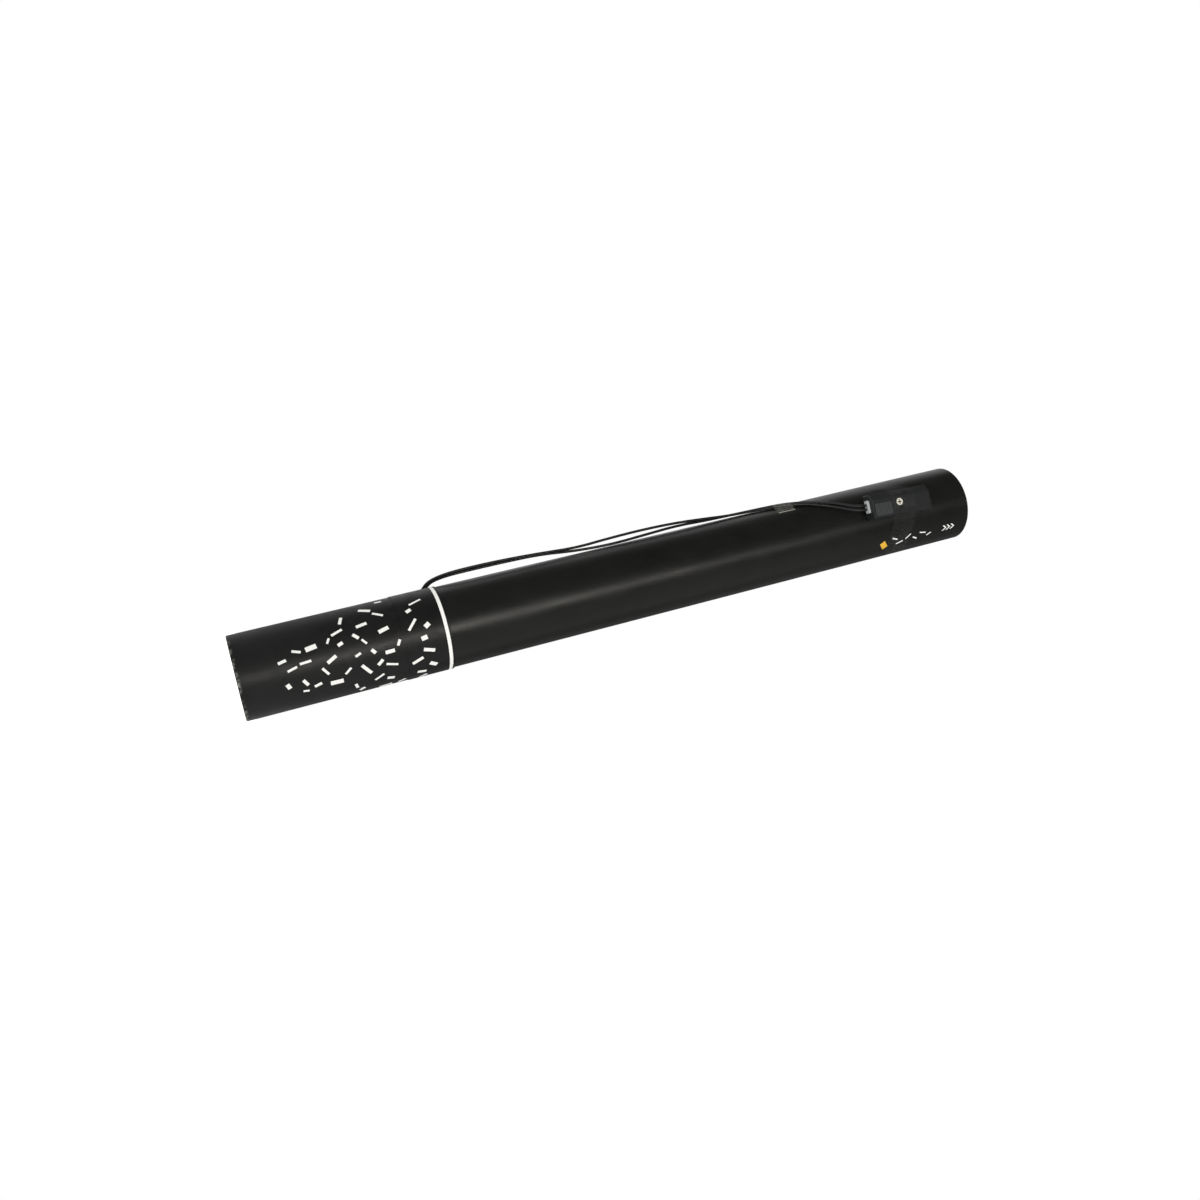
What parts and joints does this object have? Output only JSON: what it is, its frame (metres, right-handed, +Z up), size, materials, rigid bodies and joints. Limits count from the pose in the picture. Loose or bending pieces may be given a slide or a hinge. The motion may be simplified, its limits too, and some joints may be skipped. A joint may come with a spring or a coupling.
{
  "type": "confetti cannon",
  "caption": "Electrically fired confetti cannon: plain tube with a label sleeve, taped-down two-wire lead and connector, with gas cylinder, thread-held valve and confetti inside.",
  "frame": {"origin": "centre of the base, on the surface the tube stands on", "axes": "+Z up the tube from its base to its muzzle, -Y towards the side the connector is taped to"},
  "size_m": [0.0581, 0.0641, 0.5],
  "materials": {
    "tube_black": "satin laminated wrap",
    "label_black": "satin printed film",
    "cap_black": "moulded, fine grain",
    "foam_black": "closed-cell foam",
    "can_metal": "drawn",
    "card_brown": "plain board",
    "seal_rubber": "moulded",
    "housing_nylon": "natural nylon",
    "valve_brass": "turned",
    "lever_steel": "pressed",
    "thread_nylon": "twisted thread",
    "heater_ceramic": "coated",
    "lead_sleeving": "insulated",
    "pusher_plastic": "moulded",
    "pusher_felt": "felt",
    "confetti_silver": "metallised slips",
    "wire_black": "smooth insulation",
    "tape_clear": "clear film",
    "plug_grey": "moulded, fine grain",
    "screw_nickel": "nickel plated",
    "nut_steel": "zinc plated",
    "contact_brass": "plated",
    "carrier_white": "moulded",
    "clamp_grey": "moulded"
  },
  "bodies": {
    "cannon": {"barrel_tube": "tube_black", "label_sleeve": "label_black", "base_cap": "cap_black", "gas_cylinder": "can_metal", "cylinder_spacer": "card_brown", "neck_ring": "seal_rubber", "trigger_housing": "housing_nylon", "lever_pin": "lever_steel", "fuse_thread": "thread_nylon", "fuse_heater": "heater_ceramic", "heater_leads": "lead_sleeving", "wire_seal": "seal_rubber", "lead_wire_a": "wire_black", "lead_wire_b": "wire_black", "tape_lead": "tape_clear", "tape_plug": "tape_clear", "plug_base": "plug_grey", "plug_cover": "plug_grey", "plug_screw": "screw_nickel", "plug_nut": "nut_steel", "contact_pins": "contact_brass", "pin_carrier": "carrier_white", "terminal_screws": "nut_steel", "plug_cores": "wire_black", "cord_clamp": "clamp_grey"},
    "lever": {"release_lever": "lever_steel"},
    "valve": {"valve_plug": "valve_brass", "valve_ring": "seal_rubber"},
    "charge": {"confetti_pack_1": "confetti_silver", "confetti_pack_2": "confetti_silver", "confetti_pack_3": "confetti_silver", "confetti_pack_4": "confetti_silver", "confetti_pack_5": "confetti_silver", "confetti_pack_6": "confetti_silver"},
    "pusher": {"pusher_cup": "pusher_plastic", "pusher_pad": "pusher_felt"},
    "disc": {"muzzle_disc": "foam_black"}
  },
  "joints": [
    {"name": "lever_swing", "type": "hinge", "parent": "cannon", "child": "lever", "pos_m": [0.01057, -0.00303, 0.10805], "axis": [0.2756, 0.9613, 0], "range_deg": [0, 35], "deforming": ["fuse_thread"]},
    {"name": "valve_lift", "type": "slide", "parent": "cannon", "child": "valve", "axis": [0, 0, 1], "range_m": [0, 0.0065]},
    {"name": "charge_shot", "type": "slide", "parent": "cannon", "child": "charge", "axis": [0, 0, 1], "range_m": [0, 0.42]},
    {"name": "pusher_stroke", "type": "slide", "parent": "cannon", "child": "pusher", "axis": [0, 0, 1], "range_m": [0, 0.345]},
    {"name": "disc_flight", "type": "slide", "parent": "cannon", "child": "disc", "axis": [0, 0, 1], "range_m": [0, 0.485]}
  ],
  "couplings": [
    {"joint": "valve_lift", "follows": "lever_swing", "m_per_rad": 0.0104},
    {"joint": "pusher_stroke", "follows": "charge_shot", "ratio": 0.82},
    {"joint": "disc_flight", "follows": "charge_shot", "ratio": 1.15}
  ]
}
